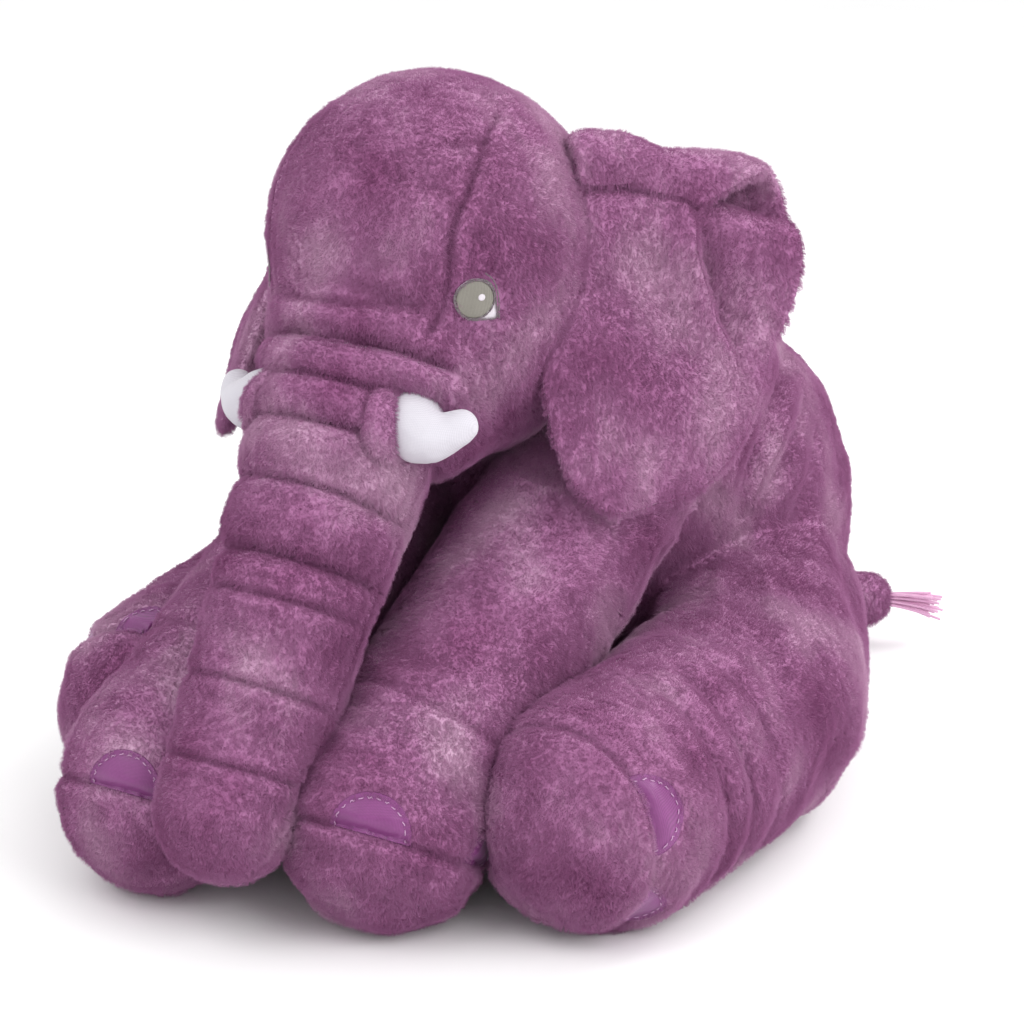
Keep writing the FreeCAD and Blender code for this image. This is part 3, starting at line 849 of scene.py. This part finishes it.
def trunk_details(points):
    place = (points - TRUNK_ROOT) @ TRUNK_AXIS
    radial = points - TRUNK_ROOT - place[:, None] * TRUNK_AXIS
    radial /= np.maximum(np.linalg.norm(radial, axis=1), 1e-6)[:, None]
    front = unit(np.cross((1, 0, 0), TRUNK_AXIS))
    if front[1] > 0:
        front = -front
    facing = ease(radial @ front, -0.45, 0.1)
    wobble = place + 3.0 * MM * noise(points, 0.05, 41)
    amount = lumps(points, 42) * 0.6
    amount += facing * pillow(wobble, TRUNK_CREASES, 11.0 * MM)
    seam_and_painted_shade = np.zeros(len(points))
    for crease in TRUNK_CREASES:
        seam_and_painted_shade = np.maximum(seam_and_painted_shade, facing * bump(wobble - crease, 2.5 * MM))
    for pleat in TRUNK_PLEATS:
        amount += facing * groove(wobble - pleat, 2.4 * MM, 2.6 * MM)
        seam_and_painted_shade = np.maximum(seam_and_painted_shade, 0.8 * facing * bump(wobble - pleat, 1.5 * MM))
    spread = 0.05 * ((radial @ front) + 0.1)
    amount += groove(spread, 2.2 * MM, 2.8 * MM)
    seam_and_painted_shade = np.maximum(seam_and_painted_shade, 0.8 * bump(spread, 1.6 * MM))
    return amount, seam_and_painted_shade


def trunk_place(points):
    """How far down the trunk points lie, and how far from its axis."""
    place = (points - TRUNK_ROOT) @ TRUNK_AXIS
    return place, np.linalg.norm(points - TRUNK_ROOT - place[:, None] * TRUNK_AXIS, axis=1)


def make_head_and_trunk():
    head_nodes = ("head_forehead_gusset", "head_cheek_left", "head_cheek_right", "head_chin_panel",
                  "head_stuffing")
    trunk_nodes = ("trunk_front_cover", "trunk_under_panel", "trunk_stuffing")
    item = cad_skin("face", head_nodes + trunk_nodes, 0.0042, 18)
    points = points_of(item)
    place, _ = trunk_place(points)
    held = np.where(place > TRUNK_CREASES[0], trunk_details(points)[1], head_details(points)[1])
    eyes = [np.linalg.norm(points - eye, axis=1) for eye in EYE.values()]
    stuffed(item, np.maximum(held, ease(np.minimum(*eyes), 0.045, 0.03)), 0.03, 2.0 * MM)
    subdivide(item)
    points = points_of(item)
    place, apart = trunk_place(points)
    in_trunk = ease(place, -0.036, -0.024) * ease(apart, 0.085, 0.07)
    head_amount, head_seam = head_details(points)
    trunk_amount, trunk_seam = trunk_details(points)
    push(item, head_amount * (1 - in_trunk) + trunk_amount * in_trunk)
    paint(item, "seam_and_painted_shade", 0.7 * (head_seam * (1 - in_trunk) + trunk_seam * in_trunk))
    bare = np.zeros(len(points))
    for eye in EYE.values():
        bare = np.maximum(bare, ease(np.linalg.norm(points - eye, axis=1), 0.020, 0.015))
    weigh(item, "pile", 1 - bare)
    place, apart = trunk_place(read_vectors(item.data.polygons, "center"))
    owner = np.where((place > TRUNK_CREASES[0]) & (apart < 0.076), 1, 0)
    head, trunk = split(item, ("head_plush", "trunk_plush"), owner)
    cover(head, head_nodes)
    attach(head, "head")
    grow_pile(head, 2)
    cover(trunk, trunk_nodes)
    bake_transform(trunk)
    grow_pile(trunk, 3)
    return head


# ---------------------------------------------------------------- legs


def foot_frame(kind, side_name):
    """Middle of the sole seam, the way the sole faces, and the two directions across it, as in the CAD."""
    facing = SOLE_FACING[kind]
    sideways = unit(np.cross((0, 0, 1), facing))
    upward = np.cross(facing, sideways)
    return FOOT[kind][side_name] + facing * SOLE_OFFSET[kind], facing, upward, -sideways


def nail_places(kind, side_name):
    """For each toenail: its number, the middle of the sole seam and its outward way."""
    centre, _, first, second = foot_frame(kind, side_name)
    for count in (-1, 0, 1):
        turn = math.radians(NAIL_ROLL[kind][side_name] + count * NAIL_SPACING[kind])
        outward = math.cos(turn) * first + math.sin(turn) * second
        yield count + 2, centre, outward


def leg_parts(kind, side_name):
    return tuple(f"{kind}_{side_name}_{part}" for part in ("sleeve", "sole", "toenails", "stuffing"))


def leg_details(kind, side_name, points, seed):
    """How far each point of a leg's skin moves out, its seams, and where the toenails lie."""
    side = SIDES[side_name]
    centre, facing, _, _ = foot_frame(kind, side_name)
    foot = FOOT[kind][side_name]
    amount = lumps(points, seed) * 0.6
    sole_side = (points - centre) @ facing
    near_foot = ease(np.linalg.norm(points - foot, axis=1), 0.105, 0.09)
    amount += near_foot * groove(sole_side, 3.0 * MM, 3.0 * MM)
    seam_and_painted_shade = near_foot * bump(sole_side, 2.0 * MM)
    if kind == "foreleg":
        root = mirrored(FORE_ROOT, side)
        axis = unit(foot - root)
        place = (points - root) @ axis
        amount += groove(place - 0.242 - 4 * MM * noise(points, 0.06, seed + 2), 2.4 * MM, 3.5 * MM)
        shoulder = ease(place, 0.19, 0.04)
        amount += 4.0 * MM * shoulder * folds(points, np.cross(axis, (0, 0, 1)), 0.10, 0.030, seed + 5)
        shin = ease(place, 0.1, 0.2)
        amount += 1.3 * MM * shin * folds(points, np.cross(axis, (0, 0, 1)), 0.07, 0.02, seed + 6)
    else:
        axis = unit(foot - mirrored(KNEE, side))
        ankle = (points - foot) @ axis
        outer = ease(side * (points[:, 0] - foot[0]), 0.0, 0.05)
        for back, depth in ((0.040, 4.0), (0.068, 4.5), (0.100, 3.0)):
            wobble = ankle + back + 4 * MM * noise(points, 0.04, seed + 3)
            amount += outer * groove(wobble, depth * MM, 5.5 * MM)
        bend = ease(np.linalg.norm(points - foot, axis=1), 0.10, 0.18)
        swathe = folds(points * np.array((side, 1, 1)), (0.6, -0.9, -0.5), 0.13, 0.034, seed + 5)
        amount += 2.6 * MM * bend * swathe
    nails = np.zeros(len(points))
    for _, middle, outward in nail_places(kind, side_name):
        spot = (points - middle) - ((points - middle) @ outward)[:, None] * outward
        flat = np.linalg.norm(spot, axis=1)
        front = ((points - middle) @ outward > 0) & (sole_side < 0)
        nails = np.maximum(nails, ease(flat, NAIL_RADIUS + 1.0 * MM, NAIL_RADIUS - 3.0 * MM) * front)
    return amount - 3.0 * MM * nails, seam_and_painted_shade, nails


def make_foreleg(side_name, seed):
    node = f"foreleg_{side_name}"
    item = cad_skin(node + "_plush", leg_parts("foreleg", side_name), 0.0045, 16)
    stuffed(item, leg_details("foreleg", side_name, points_of(item), seed)[1], 0.05, 4.0 * MM)
    subdivide(item)
    amount, seam_and_painted_shade, nails = leg_details("foreleg", side_name, points_of(item), seed)
    push(item, amount)
    paint(item, "seam_and_painted_shade", 0.7 * seam_and_painted_shade)
    weigh(item, "pile", 1 - nails)
    make_toenails(item, "foreleg", side_name)
    cover(item, leg_parts("foreleg", side_name))
    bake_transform(item)
    grow_pile(item, seed)


def make_toenails(leg, kind, side_name):
    """Half discs of satin, round side up the leg, with a dashed line of pale stitches along the arc."""
    tree = tree_of(leg)
    for number, middle, outward in nail_places(kind, side_name):
        up = -SOLE_FACING[kind]
        reach = FOOT_RADIUS[kind]
        spot = middle + outward * reach * 0.95
        start, _, _, _ = tree.ray_cast(Vector(spot + outward * 0.05), Vector(-outward))
        if start is None or (start - Vector(spot)).length > 0.02:
            continue
        turn = np.linspace(0, math.pi, 24)
        arc = on_circle(turn) * NAIL_RADIUS
        base = np.stack([np.linspace(-NAIL_RADIUS, NAIL_RADIUS, 12)[1:-1], np.zeros(10)], axis=1)
        outline = np.concatenate([arc, base])
        right = np.cross(up, outward)
        name = f"{kind}_{side_name}_toenail_{number}"
        nail = patch(name, tree, middle + outward * reach * 0.9, right, up, outline, 0.6 * MM, 1.6 * MM, 33)
        dress(nail, satin)
        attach(nail, f"{kind}_{side_name}")
        stitches = []
        for step in range(13):
            low = math.pi * (step + 0.22) / 13
            high = math.pi * (step + 0.78) / 13
            thread = np.linspace(low, high, 5)
            flat = on_circle(thread) * (NAIL_RADIUS - 3.2 * MM)
            line = middle + outward * reach * 0.9 + flat[:, :1] * right + flat[:, 1:] * up
            stitches.append(dropped(line, tree, unit(outward), 2.4 * MM))
        add_threads(f"{name}_stitches", stitches, 0.38 * MM, pale_thread, f"{kind}_{side_name}")


def add_threads(name, lines, radius, material, body):
    """Short round threads with tapered ends, all in one piece."""
    item = tubes(name, lines, radius * np.array((0.5, 1, 1, 1, 0.5)), 6, side=(0.31, 0.17, 0.93))
    dress(item, material)
    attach(item, body)


# ---------------------------------------------------------------- ears

EAR_TOP = {name: hinge[f"ear_{name}_flap"] for name in SIDES}
# The ear spread flat, in millimetres: back from the front seam, and down from the fold along its top.
EAR_OUTLINE = ((-22, -30), (-18, -48), (10, -48), (31, -48), (49, -49), (65, -56), (79, -52), (94, -48),
               (108, -42), (123, -28), (134, -8), (139, 25), (139, 62), (128, 94), (114, 116), (107, 136),
               (96, 160), (80, 186), (54, 210), (22, 228), (-12, 234), (-36, 218), (-49, 190), (-54, 160),
               (-55, 138), (-48, 118), (-34, 94), (-24, 70), (-20, 44), (-20, 20), (-22, -6))
EAR_LEAN = {"left": 0, "right": 4}
EAR_HALF = 8.5 * MM
EAR_FLARE = {"left": 0, "right": 10 * MM}


def folded_ear(flat):
    """Puts points of the flat ear, in metres, on the ear's middle surface: back, down and outward."""
    back, drop = flat[:, 0], flat[:, 1]
    ridge = np.interp(back, mm(-10, 17, 40, 65, 94, 114, 125, 135), mm(4, 8, 21, 25, 31, 36, 42, 48))
    hanging = np.interp(back, mm(-10, 20, 48, 100, 135), mm(5, 7, 18, 20, 27))
    roll = np.interp(back, mm(0, 60, 100, 135), mm(9, 12, 17, 18))
    angle = np.clip(-drop / roll, 0, math.pi)
    beyond = np.clip(-drop - math.pi * roll, 0, None)
    main_down = drop + hanging + (ridge - hanging) * (1 - ease(drop, 0, 0.07))
    down = np.where(drop > 0, main_down, ridge + beyond - roll * np.sin(angle))
    line = np.interp(back, mm(-10, 60, 75, 112, 132), mm(30, 38, 47, 58, 61))
    reach = np.interp(back, mm(60, 100), mm(13, 6))
    fullness = ease(down, line - reach, line + 0.6 * reach)
    pocket = roll + np.interp(back, mm(60, 92, 114, 132), mm(0, 6, 0, -12))
    swell = np.interp(back, mm(60, 95), mm(1, 5)) * bump(down - line - 0.012, 0.022)
    main = fullness * (0.001 + swell) - pocket * (1 - fullness)
    rolled = -roll * np.cos(angle) - (pocket - roll) * 0.5 * (1 + np.cos(angle))
    return np.stack([back, down, np.where(drop > 0, main, rolled)], axis=1)


def make_ear(side_name):
    side = SIDES[side_name]
    outward = unit((side * 0.804, -0.526, 0.278))
    back = unit((side * 0.555, 0.833, -0.03))
    down = unit((side * 0.22, -0.18, -0.96))
    lean = math.radians(EAR_LEAN[side_name])
    outward, down = (outward * math.cos(lean) - down * math.sin(lean),
                     down * math.cos(lean) + outward * math.sin(lean))
    disc, faces, rim = square_to_disc(121)
    outline = spline(mm(*EAR_OUTLINE), 300, closed=True)
    flat = stretched(disc, outline)
    radius = np.linalg.norm(disc, axis=1)
    thick = EAR_HALF * np.sqrt(np.clip(1 - radius ** 7, 0, 1))
    middle = folded_ear(flat)
    nudge = 0.5 * MM
    across = folded_ear(flat + np.array((nudge, 0))) - middle
    along = folded_ear(flat + np.array((0, nudge))) - middle
    normal = np.cross(across, along)
    normal /= np.maximum(np.linalg.norm(normal, axis=1), 1e-12)[:, None]
    spot = np.stack([flat[:, 0], flat[:, 1], np.zeros(len(flat))], axis=1)
    bend = 6.0 * MM * noise(spot, 0.09, 51) + 2.2 * MM * noise(spot, 0.04, 52)
    pleat, place = near_line(spot, spline(mm((58, 22, 0), (63, 60, 0), (72, 98, 0), (84, 124, 0)), 20))
    sidewise = np.sign(spot[:, 0] - np.interp(spot[:, 1], mm(22, 60, 98, 124), mm(58, 63, 72, 84)))
    fade = np.sin(np.clip(place, 0.03, 0.97) * math.pi) ** 0.6
    hollow = -11.0 * MM * fade * np.where(sidewise > 0, bump(pleat - 0.004, 0.020), 0)
    ridge = 6.5 * MM * fade * bump(pleat, np.where(sidewise > 0, 0.004, 0.018))
    bend += (hollow + ridge) * ease(flat[:, 1], 0.0, 0.02)
    bend *= ease(radius, 1.05, 0.6) * 0.7 + 0.3
    surfaces = []
    for layer in (1, -1):
        local = middle + normal * (layer * thick)[:, None]
        local[:, 2] += bend + EAR_FLARE[side_name] * ease(middle[:, 1], 0.03, 0.17)
        surfaces.append(EAR_TOP[side_name] + local @ np.stack([back, down, outward]))
    size = len(flat)
    inner = np.ones(size, bool)
    inner[rim] = False
    number = np.arange(size)
    number_back = np.where(inner, size + np.cumsum(inner) - 1, number)
    points = np.concatenate([surfaces[0], surfaces[1][inner]])
    under = number_back[faces][:, ::-1]
    every = np.concatenate([faces, under])
    if side > 0:
        every = every[:, ::-1]
    nodes = tuple(f"ear_{side_name}_{part}" for part in ("front_panel", "back_panel", "batting"))
    item = new_object(f"ear_{side_name}_plush", points, every)
    smooth(item, 3)
    push(item, 0.5 * lumps(points_of(item), 53))
    # Painted shade: the pocket under the ear's rolled top is darkened on its outer layer.
    shade = np.zeros(len(points))
    shade[:size] = 0.6 * ease(-middle[:, 2], 0.004, 0.016) * ease(middle[:, 0], 0.064, 0.078)
    paint(item, "seam_and_painted_shade", shade)
    cover(item, nodes)
    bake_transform(item)
    grow_pile(item, 60 + side)


# ---------------------------------------------------------------- tusks

TUSK_LINE = ((50, -215, 325), (58, -229, 320), (70, -230, 316), (80, -226, 317), (90, -218, 323))
TUSK_RADII = (20, 20.5, 18, 14, 10.5)


def make_tusk(side_name):
    side = SIDES[side_name]
    line = spline(mm(*TUSK_LINE), 33) * np.array((side, 1, 1))
    radii = np.interp(np.linspace(0, 4, 33), range(5), TUSK_RADII) * MM
    item = cad_skin(f"tusk_{side_name}_fleece", (), 0.0018, 8, fillers=tuple(zip(line, radii)))
    points = points_of(item)
    push(item, 0.5 * MM * noise(points, 0.011, 71) + 0.25 * MM * noise(points, 0.005, 72))
    dress(item, fleece)
    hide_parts(f"tusk_{side_name}_cover", f"tusk_{side_name}_stuffing")
    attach(item, "head")
    toward = unit((side * 0.84, 0.40, 0.05))
    first = unit(np.cross(toward, (0, 0, 1)))
    second = np.cross(toward, first)
    circle = on_circle(np.linspace(0, 2 * math.pi, 60, endpoint=False)) @ np.stack([first, second])
    ring = line[8] - 17 * MM * toward + 18 * MM * circle
    collar = tube(f"tusk_{side_name}_collar_plush", ring, 8.5 * MM, 20, closed=True, side=toward)
    push(collar, lumps(points_of(collar), 73))
    paint(collar, "seam_and_painted_shade", np.zeros(len(collar.data.vertices)))
    dress(collar, plush_cloth)
    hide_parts(f"tusk_{side_name}_collar")
    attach(collar, "head")
    grow_pile(collar, 75 + side, dense=1.2)


# ---------------------------------------------------------------- eyes


def make_eye(side_name, head_tree):
    """A flat embroidered eye: pale almond, grey-olive iris, bright spot and dark outlines."""
    side = SIDES[side_name]
    centre = EYE[side_name]
    outward = unit(centre - mm(0, -117, 405))
    up = unit(np.array((0, 0, 1)) - outward[2] * outward)
    rear = np.cross(up, outward) * side
    if rear[1] < 0:
        rear = -rear
    almond = mm((-17.6, -1), (-15, 7), (-8, 12), (0, 12.2), (5.5, 9.5), (9, 3.5), (10.2, -5), (10.8, -14),
                (2, -14.6), (-8, -14.2), (-15, -9))
    almond = spline(almond, 80, closed=True)
    white = patch(f"eye_{side_name}_white_thread", head_tree, centre, rear, up, almond, 1.0 * MM, 1.2 * MM)
    dress(white, sclera)
    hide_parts(f"eye_{side_name}_white")
    circle = on_circle(np.linspace(0, 2 * math.pi, 64, endpoint=False))
    middle = centre - rear * 4.0 * MM - up * 1.0 * MM
    iris = patch(f"eye_{side_name}_iris_thread", head_tree, middle, rear, up, circle * 12.6 * MM, 1.8 * MM,
                 1.2 * MM)
    dress(iris, iris_thread)
    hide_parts(f"eye_{side_name}_iris")
    spark_at = middle + rear * 4.2 * MM + up * 1.5 * MM
    spark = patch(f"eye_{side_name}_highlight", head_tree, spark_at, rear, up, circle * 2.3 * MM, 2.9 * MM,
                  0.7 * MM, 13)
    dress(spark, sclera)
    for item in (white, iris, spark):
        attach(item, "head")
    outline = []
    ring = np.concatenate([circle, circle[:1]]) * 12.9 * MM
    rim = np.concatenate([almond, almond[:1]])
    lid = spline(mm((2, 17), (7.5, 12), (10.5, 4.5), (12, -5), (12.3, -15)), 33)
    for flat, where in ((ring, middle), (rim, centre), (lid, centre)):
        line = where + flat[:, :1] * rear + flat[:, 1:] * up
        line = dropped(line, head_tree, outward, 2.6 * MM)
        pieces = [line[index:index + 5] for index in range(0, len(line) - 4, 4)]
        outline += [piece for piece in pieces if len(piece) == 5]
    add_threads(f"eye_{side_name}_outline", outline, 0.55 * MM, dark_thread, "head")


# ---------------------------------------------------------------- tail


def make_tail():
    tail_nodes = ("tail_cover", "tail_stuffing")
    item = cad_skin("tail_plush", tail_nodes, 0.0035, 6)
    subdivide(item)
    push(item, lumps(points_of(item), 81))
    paint(item, "seam_and_painted_shade", np.zeros(len(item.data.vertices)))
    cover(item, tail_nodes)
    tip = mm(98, 357, 36)
    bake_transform(item)
    grow_pile(item, 82)
    reach = unit((0.84, 0.54, 0.0))
    aside = unit(np.cross(reach, (0, 0, 1)))
    strands = []
    count = 26
    generator = np.random.default_rng(83)
    for _ in range(count):
        spread = generator.uniform(-1, 1, 2)
        start = tip + reach * 0.012 + aside * spread[0] * 4 * MM + np.array((0, 0, 1)) * spread[1] * 4 * MM
        sway = generator.uniform(-1, 1, 3) * MM
        length = generator.uniform(0.040, 0.054)
        knots = [start + reach * length * part + aside * spread[0] * 9 * MM * part
                 + np.array((0, 0, 1)) * (spread[1] * 7 * MM * part - 6 * MM * part ** 2)
                 + sway * math.sin(4 * part)
                 for part in (0, 0.3, 0.6, 0.85, 1.0)]
        strands.append(spline(knots, 24))
    tuft = tubes("tail_yarn", strands, 1.1 * MM, 8)
    dress(tuft, yarn)
    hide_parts("tail_tuft")
    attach(tuft, "tail")


# ---------------------------------------------------------------- all together

add_camera()
bpy.context.scene.view_settings.view_transform = "Standard"
add_world(1.0)
add_light("key", (-0.7, -1.6, 2.1), 15, 1.6)
add_light("fill", (1.9, -0.5, 1.5), 24, 1.6)
add_light("rim", (0.9, 1.6, 1.5), 22, 1.2)

make_torso_and_hind_legs()
head_tree = tree_of(make_head_and_trunk())
for number, side_name in enumerate(SIDES):
    make_eye(side_name, head_tree)
    make_foreleg(side_name, 10 + number)
    make_ear(side_name)
    make_tusk(side_name)
make_tail()

floor = new_object("floor", [(-6, -6, 0), (6, -6, 0), (6, 6, 0), (-6, 6, 0)], [(0, 1, 2, 3)])
floor_shader = Shader("floor")
floor_tones = ((0.3, (0.96, 0.96, 0.96)), (0.7, (0.98, 0.98, 0.98)))
floor_tone = floor_shader.ramp(floor_shader.noise(3, 2.0), floor_tones)
floor.data.materials.append(floor_shader.finish(
    floor_shader.add("BsdfPrincipled", Base_Color=floor_tone, Roughness=0.8).outputs[0]))
